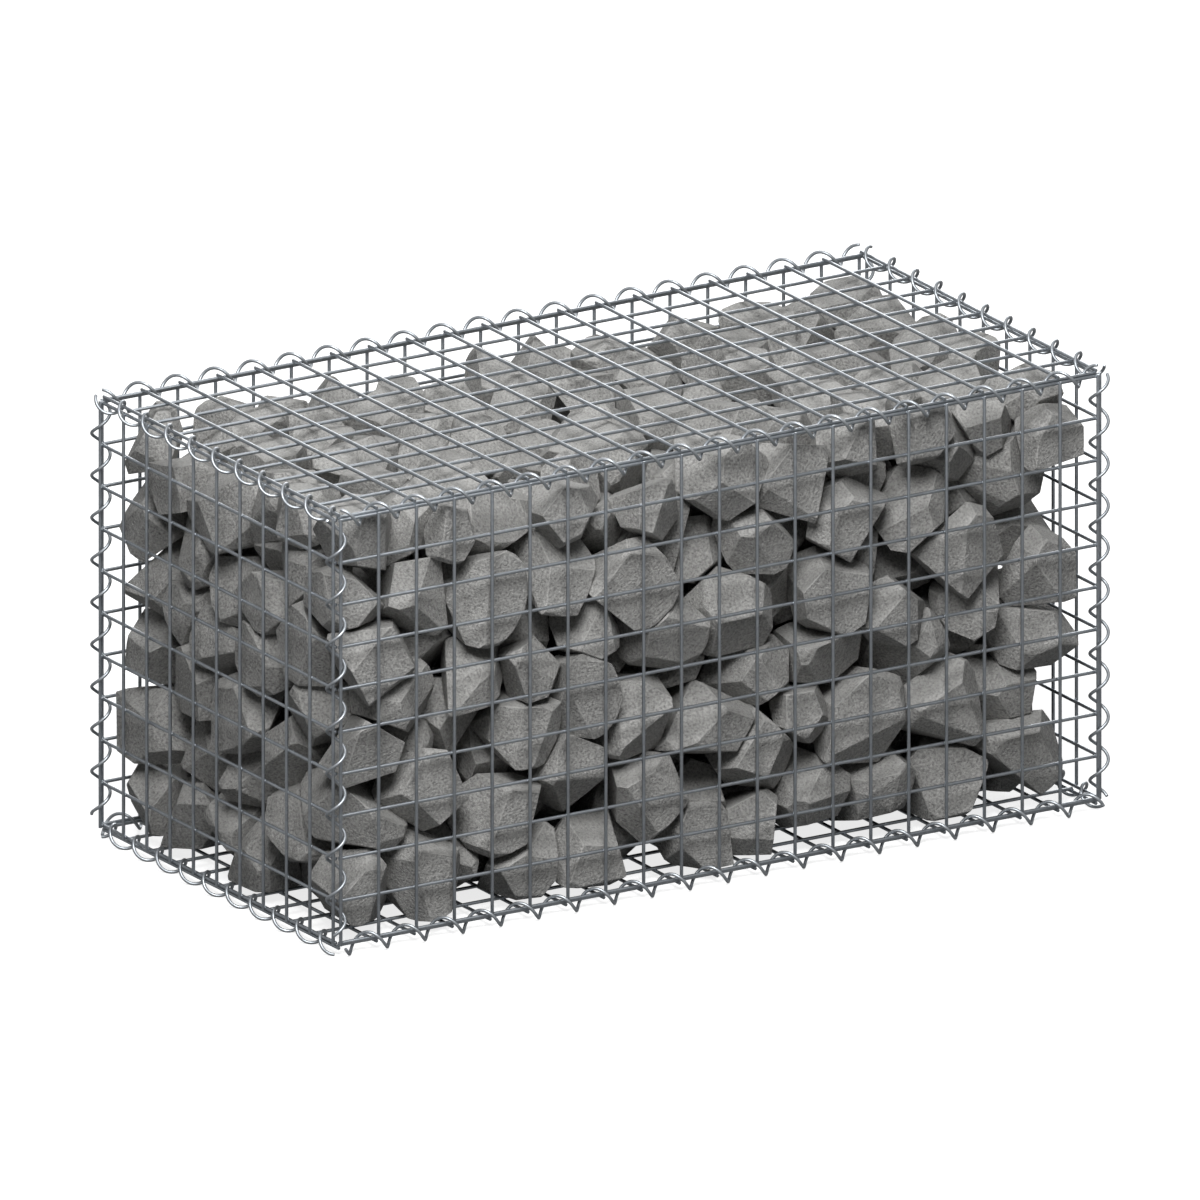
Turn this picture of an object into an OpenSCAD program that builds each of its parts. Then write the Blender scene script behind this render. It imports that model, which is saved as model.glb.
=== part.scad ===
// Gabion: a basket of six welded-mesh panels, laced along its twelve edges with
// spiral binders and filled with broken stone.
//
// Frame: origin at the middle of the underside, +X along the front, +Y to the back, +Z up.
// Every panel has a regular grid of straight wires in two layers that are welded where they
// cross. The outer layer runs up the walls and from front to back over the lid and base.

/* [Basket] */
// Length, from the first to the last upright wire of the front
basket_l = 1000; // [500:50:1500]
// Depth, from the first to the last upright wire of an end
basket_w = 500; // [300:50:1000]
// Height, from the lowest to the highest level wire of a wall
basket_h = 500; // [300:50:1000]

/* [Mesh] */
// Spacing of the mesh wires, adjusted to divide each side evenly
mesh_pitch = 50; // [40:5:80]
// Thickness of a mesh wire
wire_d = 4; // [3:0.5:5]
// How far two crossing wires sink into each other at a weld
weld_sink = 0.8; // [0.7:0.1:1.2]
// Gap between the edge wires of two neighbouring panels
panel_gap = 0.2; // [0.2:0.1:1]
// How far the outer wires run past the edge wire that they cross
outer_stub = 2.5; // [1:0.5:3]
// How far the inner wires run past the edge wire that they cross
inner_stub = 0.7; // [0.2:0.1:0.8]

/* [Spirals] */
// Outer diameter of a spiral binder, or more where the edge wires need it
spiral_d = 24.6; // [20:0.2:32]
// Thickness of the wire that the spirals are wound from
spiral_wire_d = 3.8; // [2.5:0.1:4.5]
// Gap between a spiral and the edge wire that it hangs on
lace_gap = 0.3; // [0.2:0.1:0.9]

/* [Stones] */
// Usual width of a stone, adjusted to divide the basket evenly
stone_w = 87; // [60:1:120]
// Room between the top of the stones and the highest level wire
headroom = 22; // [10:1:60]
// Gap between a stone and the stones or wires that it bears on
stone_gap = 0.5; // [0.2:0.1:0.9]
// How far the stones stay back from the spirals
spiral_room = 2.8; // [1:0.2:10]
// How far the joints between stones wander to either side
joint_wander = 11; // [0:1:14]
// Steepest turn of the break that takes off a stone's corners, in degrees
break_turn = 34; // [10:1:40]
// Size of that break, against the stone's own size
break_size = 1.06; // [1:0.01:1.2]
// Number that picks one arrangement of stones
stone_seed = 7; // [1:1:99]

/* [Hidden] */
// Courses of stones, sides of a spiral's wire, and straight pieces in each of its turns
COURSES = 6;
SPIRAL_SIDES = 4;
SPIRAL_STEPS = 8;
SQRT2 = sqrt(2);

// Steps that keep the random keys of seeds, courses, rows, joints and stones apart
SEED_KEYS = 10000;
COURSE_KEYS = 1000;
ROW_KEYS = 100;
JOINT_KEYS = 10;
STONE_KEYS = 4;

steel = "slategray";
grey_stone = "darkgray";

// Whole cells along each side, and the wire spacing that they give
cells_x = round(basket_l / mesh_pitch);
cells_y = round(basket_w / mesh_pitch);
cells_z = round(basket_h / mesh_pitch);
pitch_x = basket_l / cells_x;
pitch_y = basket_w / cells_y;
pitch_z = basket_h / cells_z;

// Height of the outer layer of wires over the inner one, centre to centre
layer = wire_d - weld_sink;
// Step along both axes between the edge wires of two panels, side by side on the diagonal
edge_step = (wire_d + panel_gap) / SQRT2;
// How far the outer layer stands out from the edge wires of the neighbouring panels
stand_off = layer + edge_step;

// Radius, at the middle of its wire, of the smallest spiral that passes around the edge
// wires of two walls
least_spiral_r =
    (stand_off / SQRT2 + wire_d / 2 + lace_gap) / cos(180 / SPIRAL_STEPS) + spiral_wire_d / 2;
// Radius of a spiral at the middle of its wire
spiral_r = max((spiral_d - spiral_wire_d) / 2, least_spiral_r);
// Distance from a spiral's axis to the wire that it hangs on, inside its straight bends
hang = (spiral_r - spiral_wire_d / 2) * cos(180 / SPIRAL_STEPS) - wire_d / 2 - lace_gap;
// Offsets of the spirals' axes outward from the grid of wires
axis_rise = edge_step;
long_axis_out = hang;
short_axis_out = sqrt(hang * hang - layer * layer);
upright_axis_out = hang / SQRT2;

// Half lengths of the grid, and the levels of its lowest and highest wires
half_l = basket_l / 2;
half_w = basket_w / 2;
low = axis_rise + spiral_r + spiral_wire_d / 2;
high = low + basket_h;

// The space that the stones fill
stone_back = wire_d / 2 + lace_gap + spiral_wire_d + spiral_room;
fill_l = basket_l - 2 * stone_back;
fill_w = basket_w - 2 * stone_back;
fill_low = low - stand_off + layer + wire_d / 2 + stone_gap;
fill_h = high - headroom - fill_low;
columns = round(fill_l / stone_w);
rows = round(fill_w / stone_w);
course_h = fill_h / COURSES;

// ---- Mesh panels ----------------------------------------------------------------------

// A straight six-sided wire along +Z, with flat sides facing +Y and -Y
module wire(length) {
    cylinder(h = length, d = wire_d, $fn = 6);
}

// A panel flat in XY that faces +Z: outer wires along Y, inner wires along X beneath them
module mesh_panel(cells_u, pitch_u, cells_v, pitch_v) {
    color(steel) {
        for (i = [0 : cells_u])
            translate([i * pitch_u, -outer_stub, 0])
                rotate([-90, 0, 0])
                    wire(cells_v * pitch_v + 2 * outer_stub);
        for (j = [0 : cells_v])
            translate([-inner_stub, j * pitch_v, -layer])
                rotate([0, 90, 0])
                    rotate([0, 0, 90])
                        wire(cells_u * pitch_u + 2 * inner_stub);
    }
}

module front_panel() {
    translate([-half_l, -half_w - stand_off, low])
        rotate([90, 0, 0])
            mesh_panel(cells_x, pitch_x, cells_z, pitch_z);
}

module back_panel() {
    translate([half_l, half_w + stand_off, low])
        rotate([90, 0, 180])
            mesh_panel(cells_x, pitch_x, cells_z, pitch_z);
}

module left_panel() {
    translate([-half_l - stand_off, half_w, low])
        rotate([90, 0, -90])
            mesh_panel(cells_y, pitch_y, cells_z, pitch_z);
}

module right_panel() {
    translate([half_l + stand_off, -half_w, low])
        rotate([90, 0, 90])
            mesh_panel(cells_y, pitch_y, cells_z, pitch_z);
}

module base_panel() {
    translate([-half_l, half_w, low - stand_off])
        rotate([180, 0, 0])
            mesh_panel(cells_x, pitch_x, cells_y, pitch_y);
}

module lid_panel() {
    translate([-half_l, -half_w, high + stand_off])
        mesh_panel(cells_x, pitch_x, cells_y, pitch_y);
}

// ---- Spiral binders -------------------------------------------------------------------

// A corner of the wire's section where the spiral has turned by turn_angle. The section has
// flat sides facing in and out, at the wire's own radius.
function section_corner(turn_angle, lead, side) =
    let (
        round_section = 360 * (side + 0.5) / SPIRAL_SIDES,
        corner_r = spiral_wire_d / 2 / cos(180 / SPIRAL_SIDES),
        out = spiral_r + corner_r * cos(round_section),
        across = corner_r * sin(round_section)
    )
    [
        out * cos(turn_angle) - across * sin(lead) * sin(turn_angle),
        out * sin(turn_angle) + across * sin(lead) * cos(turn_angle),
        -across * cos(lead)
    ];

// A right-handed spiral along +Z that takes one turn a cell. It starts at first_turn, with
// start_angle counted from +X at turn 0, and stops at last_turn.
module spiral(pitch, start_angle, first_turn, last_turn) {
    lead = atan(pitch / (2 * PI * spiral_r));
    rings = (last_turn - first_turn) * SPIRAL_STEPS;
    points = [
        for (ring = [0 : rings])
            let (turn = first_turn + ring / SPIRAL_STEPS)
            for (side = [0 : SPIRAL_SIDES - 1])
                section_corner(start_angle + 360 * turn, lead, side) + [0, 0, turn * pitch]
    ];
    skin = [
        for (ring = [0 : rings - 1])
            for (side = [0 : SPIRAL_SIDES - 1])
                let (
                    here = ring * SPIRAL_SIDES + side,
                    next = ring * SPIRAL_SIDES + (side + 1) % SPIRAL_SIDES,
                    here_on = here + SPIRAL_SIDES,
                    next_on = next + SPIRAL_SIDES
                )
                each [[here, next, next_on], [here, next_on, here_on]]
    ];
    first_cap = [for (side = [SPIRAL_SIDES - 1 : -1 : 0]) side];
    last_cap = [for (side = [0 : SPIRAL_SIDES - 1]) rings * SPIRAL_SIDES + side];
    color(steel)
        polyhedron(points, concat(skin, [first_cap, last_cap]));
}

// Along +X, with angles counted from straight up towards the front
module long_spiral(y_side, level, start_angle) {
    translate([-half_l, y_side * (half_w + long_axis_out), level])
        rotate(180, [1, 0, 1])
            spiral(pitch_x, start_angle, 0, cells_x);
}

// Along +Y, with angles counted from straight up towards the right
module short_spiral(x_side, level, start_angle) {
    translate([x_side * (half_l + short_axis_out), -half_w, level])
        rotate(240, [1, 1, 1])
            spiral(pitch_y, start_angle, 0, cells_y);
}

// Up a corner, with angles counted from the right towards the back
module upright_spiral(x_side, y_side, start_angle, first_turn) {
    translate([
        x_side * (half_l + upright_axis_out),
        y_side * (half_w + stand_off - upright_axis_out),
        low
    ])
        spiral(pitch_z, start_angle, first_turn, cells_z);
}

module spiral_front_top() {
    long_spiral(-1, high + axis_rise, 0);
}

module spiral_front_bottom() {
    long_spiral(-1, low - axis_rise, 90);
}

module spiral_back_top() {
    long_spiral(1, high + axis_rise, 0);
}

module spiral_back_bottom() {
    long_spiral(1, low - axis_rise, 180);
}

module spiral_left_top() {
    short_spiral(-1, high + axis_rise, -45);
}

module spiral_left_bottom() {
    short_spiral(-1, low - axis_rise, 180);
}

module spiral_right_top() {
    short_spiral(1, high + axis_rise, 45);
}

module spiral_right_bottom() {
    short_spiral(1, low - axis_rise, 135);
}

module spiral_front_left() {
    upright_spiral(-1, -1, 135, 0.25);
}

module spiral_front_right() {
    upright_spiral(1, -1, 0, 0);
}

module spiral_back_left() {
    upright_spiral(-1, 1, 50, 0.25);
}

module spiral_back_right() {
    upright_spiral(1, 1, 90, 0);
}

// ---- Stones ---------------------------------------------------------------------------

// A random step to either side, always the same for one key
function wander(key, reach) = rands(-reach, reach, 1, stone_seed * SEED_KEYS + key)[0];

// Where the joint before stone i of n lies along a span that is centred on zero
function joint(i, n, span, key) =
    -span / 2 + span * i / n + (i == 0 || i == n ? 0 : wander(key + i, joint_wander));

// A broken stone: a block whose corners are taken off by a turned, slightly larger block
module stone(size, key) {
    intersection() {
        cube(size, center = true);
        rotate([for (axis = [1 : 3]) wander(key + axis, break_turn)])
            cube(size * break_size, center = true);
    }
}

// One course of stones, row by row from the front
module stone_course(course) {
    course_key = course * COURSE_KEYS;
    for (row = [0 : rows - 1]) {
        y0 = joint(row, rows, fill_w, course_key);
        y1 = joint(row + 1, rows, fill_w, course_key);
        row_key = course_key + row * ROW_KEYS;
        for (column = [0 : columns - 1]) {
            x0 = joint(column, columns, fill_l, row_key + JOINT_KEYS);
            x1 = joint(column + 1, columns, fill_l, row_key + JOINT_KEYS);
            size = [x1 - x0 - stone_gap, y1 - y0 - stone_gap, course_h - stone_gap];
            color(grey_stone)
                translate([
                    (x0 + x1) / 2,
                    (y0 + y1) / 2,
                    fill_low + (course - 1) * course_h + size.z / 2
                ])
                    stone(size, row_key + STONE_KEYS * column);
        }
    }
}

module stone_course_1() {
    stone_course(1);
}

module stone_course_2() {
    stone_course(2);
}

module stone_course_3() {
    stone_course(3);
}

module stone_course_4() {
    stone_course(4);
}

module stone_course_5() {
    stone_course(5);
}

module stone_course_6() {
    stone_course(6);
}

front_panel();
back_panel();
left_panel();
right_panel();
base_panel();
lid_panel();
spiral_front_top();
spiral_front_bottom();
spiral_back_top();
spiral_back_bottom();
spiral_left_top();
spiral_left_bottom();
spiral_right_top();
spiral_right_bottom();
spiral_front_left();
spiral_front_right();
spiral_back_left();
spiral_back_right();
stone_course_1();
stone_course_2();
stone_course_3();
stone_course_4();
stone_course_5();
stone_course_6();
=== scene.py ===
"""Finished look of a gabion: round welded wires, spiral binders and loose broken stone."""
import logging
import math
import random
from dataclasses import dataclass, field
from enum import Enum
from typing import Iterable, Sequence

import bmesh
import bpy
from mathutils import Euler, Matrix, Vector, noise


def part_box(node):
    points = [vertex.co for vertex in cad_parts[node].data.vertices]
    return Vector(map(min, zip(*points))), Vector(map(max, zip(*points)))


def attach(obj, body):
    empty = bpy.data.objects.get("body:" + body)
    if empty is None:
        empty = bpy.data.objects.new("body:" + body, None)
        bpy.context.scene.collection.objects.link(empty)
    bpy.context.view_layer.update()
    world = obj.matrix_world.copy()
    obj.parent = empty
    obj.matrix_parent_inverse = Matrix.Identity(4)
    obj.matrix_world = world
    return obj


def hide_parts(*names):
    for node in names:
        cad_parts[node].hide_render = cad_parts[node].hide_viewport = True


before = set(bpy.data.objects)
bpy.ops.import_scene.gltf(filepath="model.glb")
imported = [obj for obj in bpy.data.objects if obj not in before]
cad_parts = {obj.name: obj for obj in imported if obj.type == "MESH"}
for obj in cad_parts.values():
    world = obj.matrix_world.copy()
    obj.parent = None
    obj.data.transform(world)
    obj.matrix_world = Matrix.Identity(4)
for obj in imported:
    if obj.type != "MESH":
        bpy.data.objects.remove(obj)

log = logging.getLogger("gabion")

MM = 0.001
X_AXIS = Vector((1.0, 0.0, 0.0))
Y_AXIS = Vector((0.0, 1.0, 0.0))
Z_AXIS = Vector((0.0, 0.0, 1.0))


# ---- Shared mesh work -----------------------------------------------------------------

def link_mesh(name: str, bm: bmesh.types.BMesh) -> bpy.types.Object:
    """Turns a bmesh into an object in the scene, and frees the bmesh."""
    mesh = bpy.data.meshes.new(name)
    bm.to_mesh(mesh)
    bm.free()
    thing = bpy.data.objects.new(name, mesh)
    bpy.context.scene.collection.objects.link(thing)
    return thing


def make_piece(name: str, bm: bmesh.types.BMesh, sharp_angle: float) -> bpy.types.Object:
    """Turns a bmesh into a piece that lies at the origin.

    Args:
        name: Name of the piece.
        bm: The finished shape, in metres, which is freed.
        sharp_angle: Edges that turn by more than this, in radians, stay sharp.

    Returns:
        The new object, linked to the scene.
    """
    bm.normal_update()
    for face in bm.faces:
        face.smooth = True
    for edge in bm.edges:
        edge.smooth = not edge.is_manifold or edge.calc_face_angle() < sharp_angle
    return link_mesh(name, bm)


def repeat(bm: bmesh.types.BMesh, geom: Sequence, count: int, step: Vector) -> list:
    """Copies a shape in a straight row.

    Args:
        bm: The bmesh that holds the shape.
        geom: Its vertices, edges and faces.
        count: How many copies to add.
        step: From each copy to the next.

    Returns:
        The shape and all its copies.
    """
    row = list(geom)
    for index in range(1, count + 1):
        copied = bmesh.ops.duplicate(bm, geom=list(geom))["geom"]
        verts = [item for item in copied if isinstance(item, bmesh.types.BMVert)]
        bmesh.ops.translate(bm, verts=verts, vec=step * index)
        row += copied
    return row


def all_of(bm: bmesh.types.BMesh) -> list:
    """Everything in a bmesh."""
    return list(bm.verts) + list(bm.edges) + list(bm.faces)


def merge_in(bm: bmesh.types.BMesh, single: bmesh.types.BMesh) -> list:
    """Moves a small bmesh into a larger one.

    Args:
        bm: The larger bmesh.
        single: The small one, which is freed.

    Returns:
        What was added to the larger one.
    """
    known = (len(bm.verts), len(bm.edges), len(bm.faces))
    carrier = bpy.data.meshes.new("carrier")
    single.to_mesh(carrier)
    single.free()
    bm.from_mesh(carrier)
    bpy.data.meshes.remove(carrier)
    bm.verts.ensure_lookup_table()
    bm.edges.ensure_lookup_table()
    bm.faces.ensure_lookup_table()
    return bm.verts[known[0]:] + bm.edges[known[1]:] + bm.faces[known[2]:]


# ---- Shader groups and finishes -------------------------------------------------------

class Graph:
    """A node tree with short ways to add and link what the finishes use."""

    def __init__(self, tree: bpy.types.NodeTree) -> None:
        """Takes the tree that the nodes go into."""
        self.tree = tree

    def add(self, kind: str, inputs: dict | None = None, **settings) -> bpy.types.Node:
        """Adds a node.

        Args:
            kind: The node's type.
            inputs: Socket name or number to a value or to a socket that is linked in.
            **settings: The node's own settings.

        Returns:
            The node.
        """
        node = self.tree.nodes.new(kind)
        for name, value in settings.items():
            setattr(node, name, value)
        for name, value in (inputs or {}).items():
            self.feed(node, name, value)
        return node

    def feed(self, node: bpy.types.Node, name: str | int, value) -> None:
        """Links a socket into a node's input, or sets the input to a plain value."""
        if isinstance(value, bpy.types.NodeSocket):
            self.tree.links.new(value, node.inputs[name])
        else:
            node.inputs[name].default_value = value

    def group(self, tree: bpy.types.NodeTree, inputs: dict) -> bpy.types.Node:
        """Adds a node group with its inputs."""
        node = self.add("ShaderNodeGroup", node_tree=tree)
        for name, value in inputs.items():
            self.feed(node, name, value)
        return node

    def noise(self, vector: bpy.types.NodeSocket, scale, detail: float,
              roughness: float = 0.5) -> bpy.types.NodeSocket:
        """A noise value between 0 and 1."""
        node = self.add("ShaderNodeTexNoise", {"Vector": vector, "Scale": scale, "Detail": detail,
                                               "Roughness": roughness})
        return node.outputs["Fac"]

    def math(self, operation: str, first, second=0.0, clamp: bool = False) -> bpy.types.NodeSocket:
        """One step of arithmetic on two values."""
        return self.add("ShaderNodeMath", {0: first, 1: second}, operation=operation,
                        use_clamp=clamp).outputs[0]

    def spread(self, value, low: float, high: float, to_low, to_high) -> bpy.types.NodeSocket:
        """A value moved from one range to another, held within it."""
        node = self.add("ShaderNodeMapRange", {"Value": value, "From Min": low, "From Max": high,
                                               "To Min": to_low, "To Max": to_high})
        return node.outputs["Result"]

    def blend(self, mask, first, second, mode: str = "MIX") -> bpy.types.NodeSocket:
        """Two colours mixed by a mask."""
        node = self.add("ShaderNodeMix", {0: mask, 6: first, 7: second}, data_type="RGBA",
                        blend_type=mode)
        return node.outputs[2]


class ShaderGroups:
    """Effects that more than one finish uses, each built once."""

    def __init__(self) -> None:
        """Starts with no group built."""
        self.built: dict[str, bpy.types.NodeTree] = {}

    def start(self, name: str, inputs: dict[str, str], outputs: dict[str, str]) -> tuple:
        """Makes an empty group with named sockets.

        Args:
            name: Name of the group.
            inputs: Input name to socket type.
            outputs: Output name to socket type.

        Returns:
            The graph, the group's input node and its output node.
        """
        tree = bpy.data.node_groups.new(name, "ShaderNodeTree")
        for socket, kind in inputs.items():
            tree.interface.new_socket(socket, in_out="INPUT", socket_type=kind)
        for socket, kind in outputs.items():
            tree.interface.new_socket(socket, in_out="OUTPUT", socket_type=kind)
        self.built[name] = tree
        return Graph(tree), tree.nodes.new("NodeGroupInput"), tree.nodes.new("NodeGroupOutput")

    def mineral_grain(self) -> bpy.types.NodeTree:
        """Cloudy patches with fine grain over them, as a tone and a height."""
        if "mineral_grain" in self.built:
            return self.built["mineral_grain"]
        value, vector = "NodeSocketFloat", "NodeSocketVector"
        graph, given, out = self.start(
            "mineral_grain",
            {"Place": vector, "Patch Scale": value, "Grain Scale": value, "Grain Share": value},
            {"Tone": value, "Height": value})
        patches = graph.noise(given.outputs["Place"], given.outputs["Patch Scale"], 4.0, 0.6)
        grain = graph.noise(given.outputs["Place"], given.outputs["Grain Scale"], 3.0, 0.65)
        mixed = graph.add("ShaderNodeMix", {0: given.outputs["Grain Share"], 2: patches, 3: grain})
        tone = graph.spread(mixed.outputs[0], 0.3, 0.7, 0.0, 1.0)
        graph.tree.links.new(tone, out.inputs["Tone"])
        graph.tree.links.new(mixed.outputs[0], out.inputs["Height"])
        return graph.tree

    def tint(self) -> bpy.types.NodeTree:
        """A colour taken darker or lighter by a tone, and towards a second colour by a mask: dull
        zinc on the wire, pale edges with a painted highlight on the stone.
        """
        if "tint" in self.built:
            return self.built["tint"]
        value, colour = "NodeSocketFloat", "NodeSocketColor"
        graph, given, out = self.start(
            "tint",
            {"Colour": colour, "Tone": value, "Contrast": value, "Worn And Highlight Colour": colour,
             "Worn And Highlight Mask": value},
            {"Colour": colour})
        centred = graph.math("SUBTRACT", given.outputs["Tone"], 0.5)
        swing = graph.math("MULTIPLY", centred, given.outputs["Contrast"])
        level = graph.math("MAXIMUM", graph.math("ADD", swing, 1.0), 0.45)
        grey = graph.add("ShaderNodeCombineColor", {0: level, 1: level, 2: level})
        toned = graph.blend(1.0, given.outputs["Colour"], grey.outputs[0], "MULTIPLY")
        # On the wire this mixes in dull zinc; on the stone, pale edges with a painted highlight.
        worn_and_highlit = graph.blend(given.outputs["Worn And Highlight Mask"], toned, given.outputs["Worn And Highlight Colour"])
        graph.tree.links.new(worn_and_highlit, out.inputs["Colour"])
        return graph.tree


@dataclass(frozen=True)
class GalvanisedSteel:
    """Zinc-coated wire: a soft sheen, faint crystals and duller patches.

    Attributes:
        name: Name of the material.
        colour: The coating's own colour.
        dull_colour: Colour where the coating has gone dull.
        roughness: How soft the sheen is.
        metallic: How far the coating shines as bare metal.
        crystal_size: Usual width of a zinc crystal, in metres.
    """
    name: str
    colour: tuple = (0.335, 0.36, 0.387, 1.0)
    dull_colour: tuple = (0.235, 0.255, 0.277, 1.0)
    roughness: float = 0.33
    metallic: float = 0.9
    crystal_size: float = 5 * MM

    def make(self, groups: ShaderGroups) -> bpy.types.Material:
        """Builds the material."""
        material = bpy.data.materials.new(self.name)
        material.use_nodes = True
        graph = Graph(material.node_tree)
        shader = material.node_tree.nodes["Principled BSDF"]
        place = graph.add("ShaderNodeTexCoord").outputs["Object"]
        grain = graph.group(groups.mineral_grain(), {
            "Place": place, "Patch Scale": 0.12 / self.crystal_size,
            "Grain Scale": 4.0 / self.crystal_size, "Grain Share": 0.35})
        crystals = graph.add("ShaderNodeTexVoronoi",
                             {"Vector": place, "Scale": 1.0 / self.crystal_size})
        dull = graph.spread(grain.outputs["Tone"], 0.45, 1.0, 0.0, 0.7)
        tint = graph.group(groups.tint(), {
            "Colour": self.colour, "Tone": crystals.outputs["Color"], "Contrast": 0.22,
            "Worn And Highlight Colour": self.dull_colour, "Worn And Highlight Mask": dull})
        graph.tree.links.new(tint.outputs["Colour"], shader.inputs["Base Color"])
        rough = graph.spread(grain.outputs["Tone"], 0.0, 1.0, self.roughness - 0.07,
                             self.roughness + 0.12)
        graph.tree.links.new(rough, shader.inputs["Roughness"])
        shader.inputs["Metallic"].default_value = self.metallic
        bump = graph.add("ShaderNodeBump", {"Height": grain.outputs["Height"],
                                            "Strength": 0.15, "Distance": 0.1 * MM})
        graph.tree.links.new(bump.outputs["Normal"], shader.inputs["Normal"])
        return material


@dataclass(frozen=True)
class BrokenStone:
    """Dense grey stone with a fine grain, cloudy patches, split marks, pale edges with a painted
    highlight, and painted top light.

    Attributes:
        name: Name of the material.
        colour: Usual colour of a fresh face.
        edge_colour: Colour of the rounded edges, paler from crushing and lighter still as a
            painted highlight.
        top_light_colour: Lighter colour painted on faces that look up, as painted top light.
        roughness: How matt the faces are.
        patch_size: Width of the cloudy patches, in metres.
        grain_size: Width of the grain, in metres.
        split_size: Spacing of the marks left by splitting, in metres.
        contrast: How far the grain takes the colour up and down.
    """
    name: str
    colour: tuple = (0.374, 0.370, 0.359, 1.0)
    # The edge colour is partly paler stone from crushing and partly a painted highlight.
    edge_colour: tuple = (0.46, 0.455, 0.44, 1.0)
    top_light_colour: tuple = (0.385, 0.382, 0.370, 1.0)
    roughness: float = 0.86
    patch_size: float = 22 * MM
    grain_size: float = 2.9 * MM
    split_size: float = 2.8 * MM
    contrast: float = 1.28

    def make(self, groups: ShaderGroups) -> bpy.types.Material:
        """Builds the material, which reads each stone's own place, tone and edges."""
        material = bpy.data.materials.new(self.name)
        material.use_nodes = True
        graph = Graph(material.node_tree)
        links = graph.tree.links
        shader = material.node_tree.nodes["Principled BSDF"]
        place = graph.add("ShaderNodeAttribute", attribute_name=StonePile.PLACE).outputs["Vector"]
        own_tone = graph.add("ShaderNodeAttribute", attribute_name=StonePile.TONE).outputs["Fac"]
        edges = graph.add("ShaderNodeAttribute", attribute_name=StonePile.EDGE).outputs["Fac"]
        grain = graph.group(groups.mineral_grain(), {
            "Place": place, "Patch Scale": 1 / self.patch_size,
            "Grain Scale": 1 / self.grain_size, "Grain Share": 0.9})
        squeezed = graph.add("ShaderNodeMapping", {"Vector": place, "Scale": (1.0, 0.16, 1.0)})
        splits = graph.noise(squeezed.outputs["Vector"], 1 / self.split_size, 4.0, 0.7)
        pits = graph.noise(place, 2.2 / self.patch_size, 5.0, 0.62)

        streaked = graph.math("ADD", graph.math("MULTIPLY", grain.outputs["Tone"], 0.75),
                              graph.math("MULTIPLY", splits, 0.15))
        tone = graph.math("ADD", streaked, graph.math("MULTIPLY", own_tone, 0.07))
        flecks = graph.spread(pits, 0.34, 0.44, 0.05, 0.0)
        # Edge mask: paler edges from crushing, plus a painted highlight along the rounded edges.
        worn_and_highlit = graph.math("MULTIPLY", edges, graph.spread(pits, 0.35, 0.6, 0.2, 0.9), clamp=True)
        tint = graph.group(groups.tint(), {
            "Colour": self.colour, "Tone": tone, "Contrast": self.contrast,
            "Worn And Highlight Colour": self.edge_colour, "Worn And Highlight Mask": worn_and_highlit})
        darker = graph.blend(flecks, tint.outputs["Colour"],
                             tuple(0.72 * part for part in self.colour[:3]) + (1.0,))
        # Painted top light: faces that look up are made a little lighter, in patches of the grain.
        up = graph.add("ShaderNodeSeparateXYZ",
                       {0: graph.add("ShaderNodeNewGeometry").outputs["Normal"]}).outputs["Z"]
        painted_top_light = graph.math("MULTIPLY", graph.spread(up, 0.35, 0.95, 0.0, 0.55),
                          graph.spread(grain.outputs["Tone"], 0.2, 0.8, 0.5, 1.0))
        coloured = graph.blend(painted_top_light, darker, self.top_light_colour)
        links.new(coloured, shader.inputs["Base Color"])
        links.new(graph.spread(grain.outputs["Tone"], 0.0, 1.0, self.roughness - 0.08,
                               self.roughness + 0.08), shader.inputs["Roughness"])
        ledges = graph.math("ADD", splits, graph.math("MULTIPLY", pits, 0.5))
        broken = graph.add("ShaderNodeBump", {"Height": ledges, "Strength": 0.6,
                                              "Distance": 2.2 * MM})
        sandy = graph.add("ShaderNodeBump", {"Height": grain.outputs["Height"],
                                             "Strength": 0.9, "Distance": 2.3 * MM,
                                             "Normal": broken.outputs["Normal"]})
        links.new(sandy.outputs["Normal"], shader.inputs["Normal"])
        shader.inputs["Specular IOR Level"].default_value = 0.3
        return material


# ---- Basket ---------------------------------------------------------------------------

class Side(Enum):
    """The six sides of the basket, as the axes of their panels.

    Each value holds the direction in which the outer wires follow each other, the direction
    in which they run, and the way out of the basket.
    """
    FRONT = (X_AXIS, Z_AXIS, -Y_AXIS)
    BACK = (X_AXIS, Z_AXIS, Y_AXIS)
    LEFT = (Y_AXIS, Z_AXIS, -X_AXIS)
    RIGHT = (Y_AXIS, Z_AXIS, X_AXIS)
    BASE = (X_AXIS, Y_AXIS, -Z_AXIS)
    LID = (X_AXIS, Y_AXIS, Z_AXIS)

    @property
    def node(self) -> str:
        """Name of the side's CAD node."""
        return f"{self.name.lower()}_panel"


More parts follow.
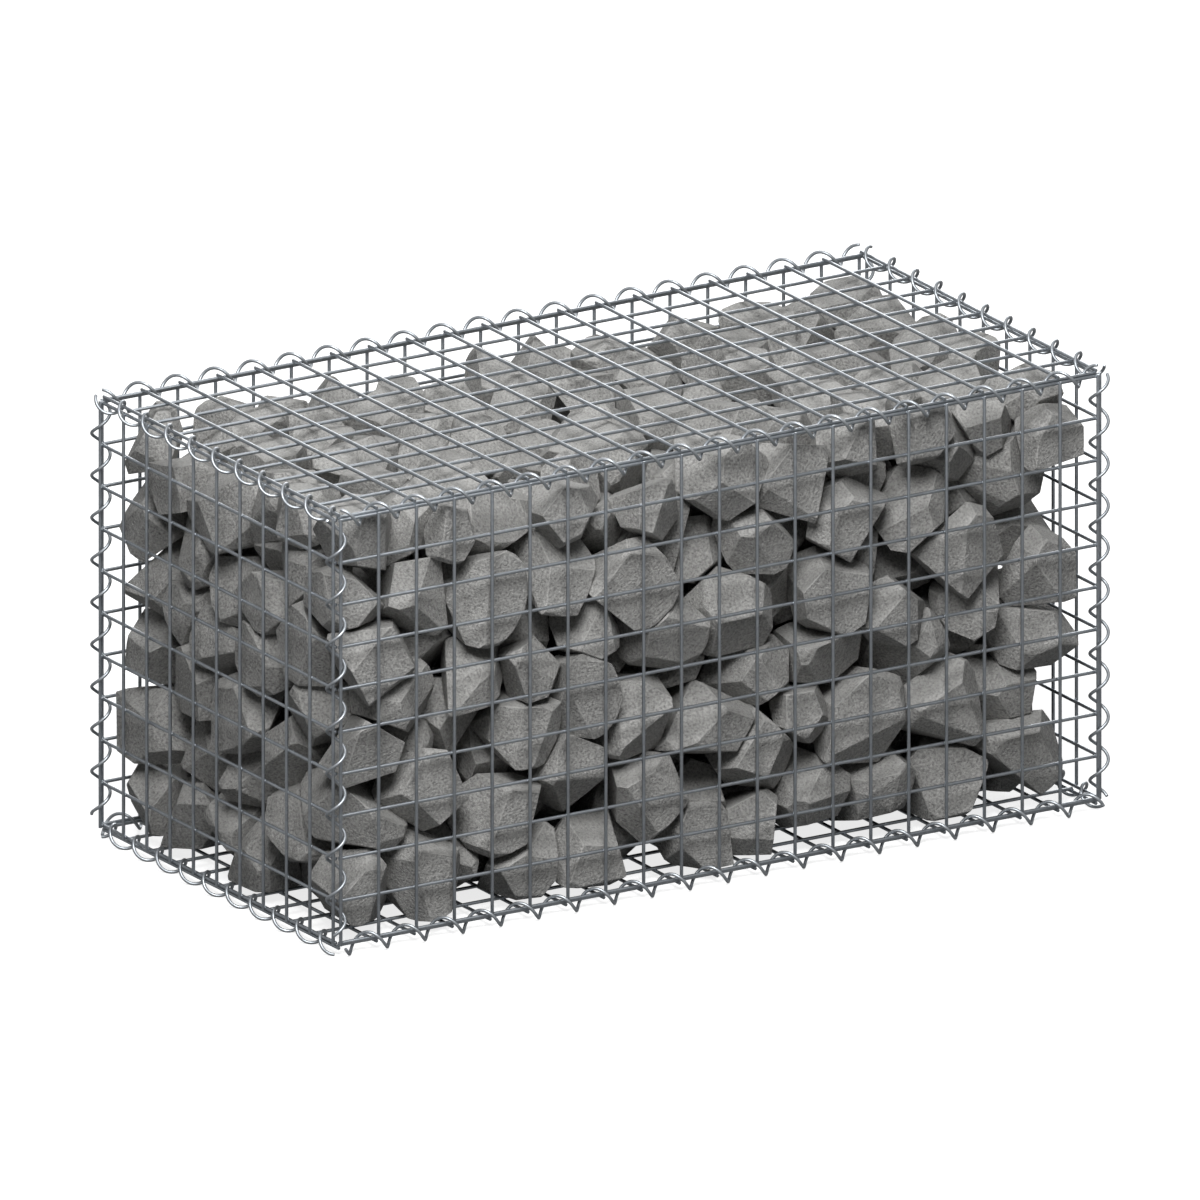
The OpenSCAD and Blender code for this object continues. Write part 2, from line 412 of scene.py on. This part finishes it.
@dataclass
class MeshPanel:
    """A flat panel of straight round wires, welded where they cross.

    Attributes:
        side: The side of the basket that it closes.
        spacing: Distance between neighbouring wires.
        wire_r: Radius of a wire.
        layer: Height of the outer wires over the inner ones, centre to centre.
        outer_stub: How far the outer wires run past the last inner wire.
        inner_stub: How far the inner wires run past the last outer wire.
        wire_sides: Number of flats that a round wire is drawn with.
        cut_edge: Width of the rounding on a cut end.
        weld_bulge: Half width and half height of the metal pressed out of a weld.
    """
    side: Side
    spacing: float = 50 * MM
    wire_r: float = 2 * MM
    layer: float = 3.2 * MM
    outer_stub: float = 2.5 * MM
    inner_stub: float = 0.7 * MM
    wire_sides: int = 16
    cut_edge: float = 0.35 * MM
    weld_bulge: tuple = (2.45 * MM, 1.25 * MM)

    def grid(self) -> tuple[Vector, int, float, int, float]:
        """Where the wires lie, from the CAD panel's own box.

        Returns:
            The first crossing in the outer wires' plane, then the number of cells and their
            width across the outer wires, and the same along them.
        """
        across, along, outward = self.side.value
        low, high = (Vector(corner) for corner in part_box(self.side.node))
        middle = (low + high) / 2
        span = high - low
        width = span.dot(across) - 2 * self.wire_r
        height = span.dot(along) - 2 * self.outer_stub
        # The CAD wires are six-sided bars with a flat side out.
        flat_r = self.wire_r * math.cos(math.pi / 6)
        depth = abs(span.dot(outward)) / 2 - flat_r
        first = middle - across * width / 2 - along * height / 2 + outward * depth
        cells_across = round(width / self.spacing)
        cells_along = round(height / self.spacing)
        return first, cells_across, width / cells_across, cells_along, height / cells_along

    def wire(self, bm: bmesh.types.BMesh, start: Vector, along: Vector, length: float) -> list:
        """Adds one cut wire.

        Args:
            bm: The panel's bmesh.
            start: Middle of the wire's first end.
            along: Direction of the wire.
            length: Length of the wire.

        Returns:
            The wire's vertices, edges and faces.
        """
        turn = Z_AXIS.rotation_difference(along).to_matrix().to_4x4()
        place = Matrix.Translation(start + along * length / 2) @ turn
        single = bmesh.new()
        bmesh.ops.create_cone(single, cap_ends=True, segments=self.wire_sides,
                              radius1=self.wire_r, radius2=self.wire_r, depth=length,
                              matrix=place)
        rims = [edge for edge in single.edges
                if edge.calc_face_angle() > math.radians(60)]
        bmesh.ops.bevel(single, geom=rims, offset=self.cut_edge, segments=2, profile=0.5,
                        affect="EDGES", material=-1)
        return merge_in(bm, single)

    def weld(self, bm: bmesh.types.BMesh, place: Vector) -> list:
        """Adds the metal pressed out of one weld, and returns its geometry."""
        bulge, rise = self.weld_bulge
        outward = self.side.value[2]
        stretch = Vector(rise if axis else bulge for axis in outward)
        made = bmesh.ops.create_uvsphere(bm, u_segments=10, v_segments=5, radius=1.0)
        verts = made["verts"]
        bmesh.ops.scale(bm, vec=stretch, verts=verts)
        bmesh.ops.translate(bm, vec=place, verts=verts)
        edges = {edge for vert in verts for edge in vert.link_edges}
        faces = {face for vert in verts for face in vert.link_faces}
        return verts + list(edges) + list(faces)

    def build(self, finish: bpy.types.Material) -> bpy.types.Object:
        """Builds and dresses the panel.

        Args:
            finish: The wires' material.

        Returns:
            The piece, in place of the CAD panel.
        """
        across, along, outward = self.side.value
        first, cells_across, step_across, cells_along, step_along = self.grid()
        height = cells_along * step_along
        width = cells_across * step_across
        bm = bmesh.new()
        outer = self.wire(bm, first - along * self.outer_stub, along,
                          height + 2 * self.outer_stub)
        repeat(bm, outer, cells_across, across * step_across)
        sunk = first - outward * self.layer
        inner = self.wire(bm, sunk - across * self.inner_stub, across,
                          width + 2 * self.inner_stub)
        repeat(bm, inner, cells_along, along * step_along)
        weld = self.weld(bm, first - outward * self.layer / 2)
        row = repeat(bm, weld, cells_across, across * step_across)
        repeat(bm, row, cells_along, along * step_along)
        piece = make_piece(f"{self.side.name.lower()}_mesh", bm, math.radians(40))
        piece.data.materials.append(finish)
        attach(piece, "root")
        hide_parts(self.side.node)
        return piece


class Run(Enum):
    """The way a spiral binder runs, with the direction that its angles count from."""
    ALONG = (X_AXIS, Z_AXIS)
    BACK = (Y_AXIS, Z_AXIS)
    UP = (Z_AXIS, X_AXIS)


@dataclass
class SpiralBinder:
    """A right-handed spiral of round wire that laces two panels, one turn a cell.

    Attributes:
        edge: The edge that it laces, which names its CAD node.
        run: The way it runs.
        start_angle: Where turn 0 begins, in degrees from the run's second direction.
        first_turn: The turn at which the wire starts.
        spacing: Length of one turn.
        radius: From the spiral's axis to the middle of its wire.
        wire_r: Radius of the wire.
        wire_sides: Number of flats that the round wire is drawn with.
        steps: Number of steps in a turn.
        cut_edge: Width of the rounding on a cut end.
    """
    edge: str
    run: Run
    start_angle: float
    first_turn: float = 0.0
    spacing: float = 50 * MM
    radius: float = 10.4 * MM
    wire_r: float = 1.9 * MM
    wire_sides: int = 12
    steps: int = 32
    cut_edge: float = 0.3 * MM

    def axis_line(self) -> tuple[Vector, int, float]:
        """Where the spiral's axis lies, from its CAD node and the mesh that it laces.

        Returns:
            The axis point at turn 0, the number of turns and the length of one.
        """
        along = self.run.value[0]
        low, high = (Vector(corner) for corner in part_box(f"spiral_{self.edge}"))
        middle = (low + high) / 2
        node = "left_panel" if self.run is Run.BACK else "front_panel"
        panel_low, panel_high = (Vector(corner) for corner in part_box(node))
        centre = (panel_low + panel_high) / 2
        length = round((panel_high - panel_low).dot(along) / self.spacing) * self.spacing
        start = middle - along * middle.dot(along) + along * (centre.dot(along) - length / 2)
        return start, round(length / self.spacing), self.spacing

    def build(self, finish: bpy.types.Material) -> bpy.types.Object:
        """Builds and dresses the spiral.

        Args:
            finish: The wire's material.

        Returns:
            The piece, in place of the CAD spiral.
        """
        along, zero = self.run.value
        start, turns, lead = self.axis_line()
        out = Matrix.Rotation(math.radians(self.start_angle) + math.tau * self.first_turn, 3,
                              along) @ zero
        ahead = (along.cross(out) * math.tau * self.radius + along * lead).normalized()
        side = ahead.cross(out)
        frame_turn = Matrix((out, side, ahead)).transposed().to_4x4()
        centre = start + along * lead * self.first_turn
        bm = bmesh.new()
        bmesh.ops.create_circle(bm, segments=self.wire_sides, radius=self.wire_r,
                                matrix=Matrix.Translation(centre + out * self.radius) @ frame_turn)
        wound = turns - self.first_turn
        steps = round(wound * self.steps)
        bmesh.ops.spin(bm, geom=list(bm.verts) + list(bm.edges), cent=centre, axis=along,
                       dvec=along * lead / self.steps, angle=math.tau * wound, steps=steps)
        bmesh.ops.holes_fill(bm, edges=[edge for edge in bm.edges if edge.is_boundary],
                             sides=self.wire_sides)
        bmesh.ops.recalc_face_normals(bm, faces=list(bm.faces))
        rims = [edge for edge in bm.edges
                if any(len(face.verts) == self.wire_sides for face in edge.link_faces)]
        bmesh.ops.bevel(bm, geom=rims, offset=self.cut_edge, segments=2, profile=0.5,
                        affect="EDGES", material=-1)
        piece = make_piece(f"binder_{self.edge}", bm, math.radians(50))
        piece.data.materials.append(finish)
        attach(piece, "root")
        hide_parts(f"spiral_{self.edge}")
        return piece


@dataclass
class Basket:
    """The wire basket: six mesh panels and the binders along its twelve edges.

    Attributes:
        mesh_finish: Finish of the panels' wire.
        binder_finish: Finish of the binders' wire.
    """
    mesh_finish: GalvanisedSteel = GalvanisedSteel("galvanised_mesh")
    binder_finish: GalvanisedSteel = GalvanisedSteel(
        "galvanised_binder", colour=(0.37, 0.394, 0.418, 1.0), roughness=0.41)

    def binders(self) -> list[SpiralBinder]:
        """The twelve binders with the angles at which they start."""
        return [
            SpiralBinder("front_top", Run.ALONG, 0),
            SpiralBinder("front_bottom", Run.ALONG, 90),
            SpiralBinder("back_top", Run.ALONG, 0),
            SpiralBinder("back_bottom", Run.ALONG, 180),
            SpiralBinder("left_top", Run.BACK, -45),
            SpiralBinder("left_bottom", Run.BACK, 180),
            SpiralBinder("right_top", Run.BACK, 45),
            SpiralBinder("right_bottom", Run.BACK, 135),
            SpiralBinder("front_left", Run.UP, 135, first_turn=0.25),
            SpiralBinder("front_right", Run.UP, 0),
            SpiralBinder("back_left", Run.UP, 50, first_turn=0.25),
            SpiralBinder("back_right", Run.UP, 90),
        ]

    def build(self, groups: ShaderGroups) -> list[bpy.types.Object]:
        """Builds every panel and binder, and returns the pieces."""
        mesh_wire = self.mesh_finish.make(groups)
        binder_wire = self.binder_finish.make(groups)
        panels = [MeshPanel(side).build(mesh_wire) for side in Side]
        return panels + [binder.build(binder_wire) for binder in self.binders()]


# ---- Stones ---------------------------------------------------------------------------

@dataclass
class Stone:
    """One broken stone: a rough block whose sides are split off and corners chipped.

    Attributes:
        size: Half lengths of the block before it is split.
        cuts: Outward direction of each split, with its distance from the middle against the
            block's own reach that way.
        chips: Outward direction of each chip, with its distance from the middle against the
            split stone's reach that way.
        tone: How light the stone is, from 0 to 1.
    """
    size: Vector
    cuts: list[tuple[Vector, float]]
    chips: list[tuple[Vector, float]]
    tone: float

    def split(self) -> bmesh.types.BMesh:
        """Splits the block and chips what is left.

        Returns:
            The closed stone, centred near the origin.
        """
        bm = bmesh.new()
        # A ball a little larger than the block, which the splits flatten on all sides.
        bmesh.ops.create_icosphere(bm, subdivisions=2, radius=1.1)
        bmesh.ops.scale(bm, vec=self.size, verts=list(bm.verts))
        for direction, share in self.cuts:
            reach = Vector(part * length for part, length in zip(direction, self.size)).length
            self.take_off(bm, direction, reach * share)
        for direction, share in self.chips:
            reach = max(vert.co.dot(direction) for vert in bm.verts)
            self.take_off(bm, direction, reach * share)
        bmesh.ops.remove_doubles(bm, verts=list(bm.verts), dist=1.5 * MM)
        bmesh.ops.dissolve_limit(bm, angle_limit=math.radians(1), verts=list(bm.verts),
                                 edges=list(bm.edges))
        return bm

    @staticmethod
    def take_off(bm: bmesh.types.BMesh, direction: Vector, distance: float) -> None:
        """Takes off what lies beyond a flat face, and closes the face."""
        split = bmesh.ops.bisect_plane(bm, geom=all_of(bm), plane_co=direction * distance,
                                       plane_no=direction, clear_outer=True)
        rim = [item for item in split["geom_cut"] if isinstance(item, bmesh.types.BMEdge)]
        if rim:
            bmesh.ops.contextual_create(bm, geom=rim)


@dataclass
class StonePile:
    """Broken stones dropped into the basket, where they settle on each other.

    Attributes:
        widths: Smallest, usual and largest width of the block that a stone is split from.
        depths: Nearest and farthest that a split lies from the block's middle, against its
            reach.
        chips: Deepest and shallowest chip, as its distance from the middle against the reach
            of the split stone.
        stretch: Shortest and longest side of a block against its width.
        cut_count: Fewest and most splits of a stone.
        cut_tries: Number of ways from which each split takes the one farthest from the rest.
        chip_count: Fewest and most chips of a stone.
        count: Number of stones that are dropped.
        clear: How far the stones keep from the corners of the wire grid, along X, Y and Z.
        headroom: Least room under the lid's wires.
        small_last: Number of small stones that fall last and fill the top.
        seed: Picks one arrangement.
        frames: Length of the drop, in frames.
        press_frames: Length of the levelling under the lid, in frames.
        overfill: Most that a stone may stand over the level before it is pressed down.
        substeps: Steps of the solver in a frame.
        enlarged: How many times larger the stones fall, where the solver is at its best.
        edge_width: Width of the rounding on a stone's edges.
        facet: Longest edge left on a stone before its faces are roughened.
        unevenness: Height of the hollows on a face.
        hollows: Width of the broad hollows on a face and of the narrow ones in them.
        stone_friction: Friction of the stones.
        wall_friction: Friction of the walls and the lid.
    """
    PLACE = "quarry_place"
    TONE = "stone_tone"
    # Flags the rounded edges, which are painted paler from crushing and with a painted highlight.
    EDGE = "crushed_edge_and_highlight"

    widths: tuple = (94 * MM, 115 * MM, 142 * MM)
    depths: tuple = (0.50, 0.74)
    chips: tuple = (0.92, 0.975)
    stretch: tuple = (0.84, 1.22)
    cut_count: tuple = (9, 12)
    cut_tries: int = 5
    chip_count: tuple = (2, 5)
    count: int = 445
    clear: Vector = field(default_factory=lambda: Vector((10.0, 7.0, 1.0)) * MM)
    headroom: float = 6 * MM
    small_last: int = 60
    seed: int = 11
    frames: int = 110
    press_frames: int = 60
    overfill: float = 26 * MM
    substeps: int = 6
    enlarged: float = 10.0
    edge_width: float = 0.75 * MM
    facet: float = 22 * MM
    unevenness: float = 0.5 * MM
    hollows: tuple = (34 * MM, 13 * MM)
    stone_friction: float = 0.5
    wall_friction: float = 0.25

    def space(self) -> tuple[Vector, Vector]:
        """Lowest and highest corner of the space that the stones may fill."""
        left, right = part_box("front_panel")
        front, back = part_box("left_panel")
        half_wire = 2 * MM
        low = Vector((left[0] + half_wire, front[1] + half_wire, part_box("base_panel")[1][2]))
        high = Vector((right[0] - half_wire, back[1] - half_wire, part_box("lid_panel")[0][2]))
        low += Vector((self.clear.x, self.clear.y, 0.5 * MM))
        high -= Vector((self.clear.x, self.clear.y, self.headroom))
        return low, high

    def quarry(self) -> list[Stone]:
        """Breaks the stones, always the same ones for one seed."""
        dice = random.Random(self.seed)
        smallest, usual, largest = self.widths
        stones = []
        for number in range(self.count):
            half = dice.triangular(smallest, largest, usual) / 2
            if number >= self.count - self.small_last:
                half = smallest / 2
            size = Vector(half * dice.uniform(*self.stretch) for _ in range(3))
            directions: list[Vector] = []
            for _ in range(dice.randint(*self.cut_count)):
                tries = [self.any_way(dice) for _ in range(self.cut_tries)]
                directions.append(min(tries, key=lambda way: max(
                    (way.dot(other) for other in directions), default=-1.0)))
            cuts = [(direction, dice.uniform(*self.depths)) for direction in directions]
            chips = [(self.any_way(dice), dice.uniform(*self.chips))
                     for _ in range(dice.randint(*self.chip_count))]
            stones.append(Stone(size, cuts, chips, dice.random()))
        return stones

    @staticmethod
    def any_way(dice: random.Random) -> Vector:
        """A direction that is as likely as any other."""
        height = dice.uniform(-1, 1)
        turn = dice.uniform(0, math.tau)
        flat = math.sqrt(1 - height * height)
        return Vector((flat * math.cos(turn), flat * math.sin(turn), height))

    def wall(self, low: Vector, high: Vector) -> bpy.types.Object:
        """A box that holds the stones in while they fall, between two corners."""
        bm = bmesh.new()
        bmesh.ops.create_cube(bm, size=1.0)
        bmesh.ops.scale(bm, vec=high - low, verts=list(bm.verts))
        wall = link_mesh("holding_wall", bm)
        wall.location = (low + high) / 2
        return wall

    def walls(self, low: Vector, high: Vector) -> list[bpy.types.Object]:
        """Five walls around the space, open above and taller than the falling heap."""
        # In enlarged metres: too thick for a falling stone to be pushed through.
        thick, tall = 6.0, 40.0
        outer_low = low - Vector((thick, thick, thick))
        outer_high = Vector((high.x + thick, high.y + thick, high.z + tall))
        return [
            self.wall(outer_low, Vector((outer_high.x, outer_high.y, low.z))),
            self.wall(outer_low, Vector((low.x, outer_high.y, outer_high.z))),
            self.wall(outer_low, Vector((outer_high.x, low.y, outer_high.z))),
            self.wall(Vector((high.x, outer_low.y, outer_low.z)), outer_high),
            self.wall(Vector((outer_low.x, high.y, outer_low.z)), outer_high),
        ]

    def make_rigid(self, things: Iterable[bpy.types.Object], moving: bool) -> None:
        """Hands objects to the rigid body solver."""
        bpy.ops.object.select_all(action="DESELECT")
        chosen = list(things)
        for thing in chosen:
            thing.select_set(True)
        bpy.context.view_layer.objects.active = chosen[0]
        bpy.ops.rigidbody.objects_add(type="ACTIVE" if moving else "PASSIVE")
        for thing in chosen:
            body = thing.rigid_body
            body.collision_shape = "CONVEX_HULL" if moving else "BOX"
            body.friction = self.stone_friction if moving else self.wall_friction
            body.restitution = 0.0
            body.linear_damping = 0.12
            body.angular_damping = 0.35
            body.kinematic = not moving

    def enlarge(self, stones: list[Stone]) -> list[bpy.types.Object]:
        """Makes the enlarged stones that the solver moves."""
        things = []
        for stone in stones:
            bm = stone.split()
            bmesh.ops.scale(bm, vec=(self.enlarged,) * 3, verts=list(bm.verts))
            things.append(link_mesh("falling_stone", bm))
        return things

    def settle(self, stones: list[Stone], starts: list[Matrix], frames: int,
               press_from: float | None) -> list[Matrix]:
        """Lets stones move under their weight.

        Args:
            stones: The stones.
            starts: Where each one starts, enlarged.
            frames: How long they move, in frames.
            press_from: Height at which a lid starts to press them down to their level,
                enlarged, or None for no lid.

        Returns:
            Where each stone ends, enlarged.
        """
        scene = bpy.context.scene
        low, high = (corner * self.enlarged for corner in self.space())
        things = self.enlarge(stones)
        for thing, start in zip(things, starts):
            thing.matrix_world = start
        holding = self.walls(low, high)
        if press_from is not None:
            thick = Vector((0.0, 0.0, 4.0))
            lid = self.wall(Vector((low.x, low.y, high.z)), high + thick)
            end = lid.location.z
            lid.location.z = end + press_from - high.z
            lid.keyframe_insert("location", frame=1)
            lid.location.z = end
            # The stones come to rest under the closed lid in the frames that are left.
            lid.keyframe_insert("location", frame=round(frames * 0.7))
            holding.append(lid)
        bpy.ops.rigidbody.world_add()
        world = scene.rigidbody_world
        world.substeps_per_frame = self.substeps
        world.solver_iterations = 25
        world.point_cache.frame_start = 1
        world.point_cache.frame_end = frames
        self.make_rigid(holding, moving=False)
        self.make_rigid(things, moving=True)
        for number in range(1, frames + 1):
            scene.frame_set(number)
        graph = bpy.context.evaluated_depsgraph_get()
        ends = [thing.evaluated_get(graph).matrix_world.copy() for thing in things]
        bpy.ops.rigidbody.world_remove()
        for thing in things + holding:
            mesh = thing.data
            bpy.data.objects.remove(thing)
            bpy.data.meshes.remove(mesh)
        scene.frame_set(1)
        return ends

    def drop(self, stones: list[Stone]) -> list[Matrix | None]:
        """Drops the stones into the space and levels them under the lid.

        Args:
            stones: The stones, in the order in which they land.

        Returns:
            Where each stone comes to rest, in the shared frame, or None for one left over.
        """
        dice = random.Random(self.seed + 1)
        low, high = (corner * self.enlarged for corner in self.space())
        pitch = self.widths[2] * self.enlarged
        per_row = int((high.x - low.x) / pitch)
        rows = int((high.y - low.y) / pitch)
        starts = []
        for index in range(len(stones)):
            level, spot = divmod(index, per_row * rows)
            row, column = divmod(spot, per_row)
            place = Vector((low.x + (column + 0.5) * (high.x - low.x) / per_row,
                            low.y + (row + 0.5) * (high.y - low.y) / rows,
                            low.z + (level + 0.6) * pitch))
            turn = Vector(dice.uniform(0, math.tau) for _ in range(3))
            starts.append(Matrix.Translation(place) @ Euler(turn).to_matrix().to_4x4())
        fallen = self.settle(stones, starts, self.frames, None)
        tops = [self.top(stone, rest) for stone, rest in zip(stones, fallen)]
        level = high.z + self.overfill * self.enlarged
        kept = [index for index, top in enumerate(tops) if top < level]
        log.info("%d of %d stones stay in the basket", len(kept), len(stones))
        highest = max(tops[index] for index in kept)
        pressed = self.settle([stones[index] for index in kept],
                              [fallen[index] for index in kept], self.press_frames,
                              highest + 0.02)
        rests: list[Matrix | None] = [None] * len(stones)
        shrink = Matrix.Scale(1 / self.enlarged, 4)
        grow = Matrix.Scale(self.enlarged, 4)
        for index, rest in zip(kept, pressed):
            rests[index] = shrink @ rest @ grow
        return rests

    def top(self, stone: Stone, rest: Matrix) -> float:
        """Height of an enlarged stone's highest point."""
        bm = stone.split()
        height = max((rest @ (vert.co * self.enlarged)).z for vert in bm.verts)
        bm.free()
        return height

    def roughen(self, bm: bmesh.types.BMesh, stone: Stone, number: int) -> None:
        """Rounds a stone's edges and makes its faces uneven.

        Args:
            bm: The split stone.
            stone: The stone's own values.
            number: The stone's number, which moves its pattern.
        """
        place = bm.verts.layers.float_vector.new(self.PLACE)
        tone = bm.verts.layers.float.new(self.TONE)
        crushed_and_highlit = bm.faces.layers.float.new(self.EDGE)
        sharp = [edge for edge in bm.edges
                 if edge.is_manifold and edge.calc_face_angle() > math.radians(18)]
        bevelled = bmesh.ops.bevel(bm, geom=sharp, offset=self.edge_width, segments=1,
                                   profile=0.5, affect="EDGES", clamp_overlap=True,
                                   material=-1)
        # The rounded edges take the paler colour from crushing and a painted highlight.
        for face in bevelled["faces"]:
            face[crushed_and_highlit] = 1.0
        bmesh.ops.triangulate(bm, faces=list(bm.faces))
        for _ in range(3):
            long_edges = [edge for edge in bm.edges if edge.calc_length() > self.facet]
            if not long_edges:
                break
            bmesh.ops.subdivide_edges(bm, edges=long_edges, cuts=1)
            bmesh.ops.triangulate(bm, faces=list(bm.faces))
        bm.normal_update()
        # Each stone takes its grain from another spot, as if from another part of the quarry.
        offset = Vector((number * 0.37, number * 0.61, number * 0.17))
        broad, narrow = self.hollows
        moves = []
        for vert in bm.verts:
            spot = vert.co + offset
            swell = noise.noise(spot / broad) + 0.4 * noise.noise(spot / narrow)
            moves.append(vert.normal * swell * self.unevenness)
            vert[place] = spot
            vert[tone] = stone.tone
        for vert, move in zip(bm.verts, moves):
            vert.co += move

    def build(self, groups: ShaderGroups) -> list[bpy.types.Object]:
        """Breaks, drops and dresses the stones.

        Args:
            groups: The shared shader groups.

        Returns:
            One piece for each course of the CAD stones.
        """
        stones = self.quarry()
        rests = self.drop(stones)
        low, high = self.space()
        courses = [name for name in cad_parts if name.startswith("stone_course_")]
        courses.sort()
        heaps = [bmesh.new() for _ in courses]
        for number, (stone, rest) in enumerate(zip(stones, rests)):
            if rest is None:
                continue
            bm = stone.split()
            self.roughen(bm, stone, number)
            bmesh.ops.transform(bm, matrix=rest, verts=list(bm.verts))
            share = (rest.translation.z - low.z) / (high.z - low.z)
            course = min(int(share * len(courses)), len(courses) - 1)
            merge_in(heaps[course], bm)
        finish = BrokenStone("broken_stone").make(groups)
        pieces = []
        for node, heap in zip(courses, heaps):
            piece = make_piece(f"stones_{node.rsplit('_', 1)[1]}", heap, math.radians(7))
            piece.data.materials.append(finish)
            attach(piece, "root")
            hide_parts(node)
            pieces.append(piece)
        return pieces


# ---- Studio ---------------------------------------------------------------------------

@dataclass(frozen=True)
class Lamp:
    """A square soft lamp that points at the basket's middle.

    Attributes:
        name: Name of the lamp.
        place: Where it hangs.
        size: Length of its side.
        power: Its power in watts.
    """
    name: str
    place: tuple
    size: float
    power: float

    def hang(self, target: Vector) -> None:
        """Adds the lamp and points it at the target."""
        light = bpy.data.lights.new(self.name, "AREA")
        light.size = self.size
        light.energy = self.power
        lamp = bpy.data.objects.new(self.name, light)
        lamp.location = self.place
        aim = target - Vector(self.place)
        lamp.rotation_euler = aim.to_track_quat("-Z", "Y").to_euler()
        bpy.context.scene.collection.objects.link(lamp)


@dataclass
class Studio:
    """A pale floor, soft lamps and the camera.

    Attributes:
        azimuth: How far the camera stands round to the left of the front, in degrees.
        elevation: How far it looks down, in degrees.
        view_width: Width of what the camera takes in, in metres.
        distance: From the camera to the middle of the basket.
        sky_light: Strength of the sky as a light.
        sky_in_metal: How white the sky shows in metal.
        floor_glow: Strength of the floor's own glow to the camera.
        floor_in_metal: Share of that glow that shows in metal.
        key: The main lamp.
        top: A weak lamp over the lid.
        back: A lamp for the sides away from the camera.
    """
    azimuth: float = 31.607
    elevation: float = 18.12
    view_width: float = 1.3497
    distance: float = 6.0
    sky_light: float = 0.04
    sky_in_metal: float = 0.5
    floor_glow: float = 0.79
    floor_in_metal: float = 0.2
    key: Lamp = Lamp("key_lamp", (-1.82, -2.41, 3.85), 2.1, 252.0)
    top: Lamp = Lamp("top_lamp", (0.1, 0.1, 3.6), 1.8, 16.0)
    back: Lamp = Lamp("back_lamp", (2.5, 3.3, 1.7), 3.0, 115.0)

    def middle(self) -> Vector:
        """Middle of the wire grid."""
        low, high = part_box("front_panel")
        return Vector((0.0, 0.0, (low[2] + high[2]) / 2))

    def camera(self) -> None:
        """Places the camera, which draws without perspective."""
        lens = bpy.data.cameras.new("camera")
        lens.type = "ORTHO"
        lens.ortho_scale = self.view_width
        camera = bpy.data.objects.new("camera", lens)
        turn, rise = math.radians(self.azimuth), math.radians(self.elevation)
        back = Vector((-math.sin(turn) * math.cos(rise), -math.cos(turn) * math.cos(rise),
                       math.sin(rise)))
        camera.location = self.middle() + back * self.distance
        camera.rotation_euler = (math.pi / 2 - rise, 0.0, -turn)
        bpy.context.scene.collection.objects.link(camera)
        bpy.context.scene.camera = camera

    def surroundings(self) -> None:
        """A soft even sky that the camera and metal see as white."""
        world = bpy.data.worlds.new("studio_sky")
        world.use_nodes = True
        graph = Graph(world.node_tree)
        sky = world.node_tree.nodes["Background"]
        sky.inputs["Color"].default_value = (1.0, 1.0, 1.0, 1.0)
        path = graph.add("ShaderNodeLightPath")
        seen = graph.math("MAXIMUM", path.outputs["Is Camera Ray"],
                          path.outputs["Is Transmission Ray"])
        soft = graph.math("MAXIMUM", seen,
                          graph.math("MULTIPLY", path.outputs["Is Glossy Ray"],
                                     self.sky_in_metal))
        strength = graph.spread(soft, 0.0, 1.0, self.sky_light, 1.0)
        graph.tree.links.new(strength, sky.inputs["Strength"])
        bpy.context.scene.world = world

    def floor(self) -> bpy.types.Object:
        """A wide pale floor that keeps the basket's shadow."""
        bm = bmesh.new()
        bmesh.ops.create_grid(bm, x_segments=1, y_segments=1, size=30.0)
        piece = make_piece("studio_floor", bm, math.pi)
        material = bpy.data.materials.new("studio_floor")
        material.use_nodes = True
        graph = Graph(material.node_tree)
        shader = material.node_tree.nodes["Principled BSDF"]
        shader.inputs["Roughness"].default_value = 0.9
        shader.inputs["Emission Color"].default_value = (1.0, 1.0, 1.0, 1.0)
        path = graph.add("ShaderNodeLightPath")
        pale = graph.blend(path.outputs["Is Camera Ray"], (0.12, 0.12, 0.12, 1.0),
                           (0.5, 0.5, 0.5, 1.0))
        graph.tree.links.new(pale, shader.inputs["Base Color"])
        seen = graph.math("MAXIMUM", path.outputs["Is Camera Ray"],
                          graph.math("MULTIPLY", path.outputs["Is Glossy Ray"],
                                     self.floor_in_metal))
        glow = graph.math("MULTIPLY", seen, self.floor_glow)
        graph.tree.links.new(glow, shader.inputs["Emission Strength"])
        piece.data.materials.append(material)
        return piece

    def build(self) -> None:
        """Sets the whole studio up."""
        self.camera()
        self.surroundings()
        self.floor()
        for lamp in (self.key, self.top, self.back):
            lamp.hang(self.middle())
        bpy.context.scene.view_settings.view_transform = "Standard"


def main() -> None:
    """Builds the gabion and its studio, and reports each piece."""
    logging.basicConfig(level=logging.INFO, format="%(name)s: %(message)s")
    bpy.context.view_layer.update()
    groups = ShaderGroups()
    pieces = Basket().build(groups)
    pieces += StonePile().build(groups)
    Studio().build()
    for piece in pieces:
        log.info("%s: %d faces", piece.name, len(piece.data.polygons))


if __name__ == "__main__":
    main()
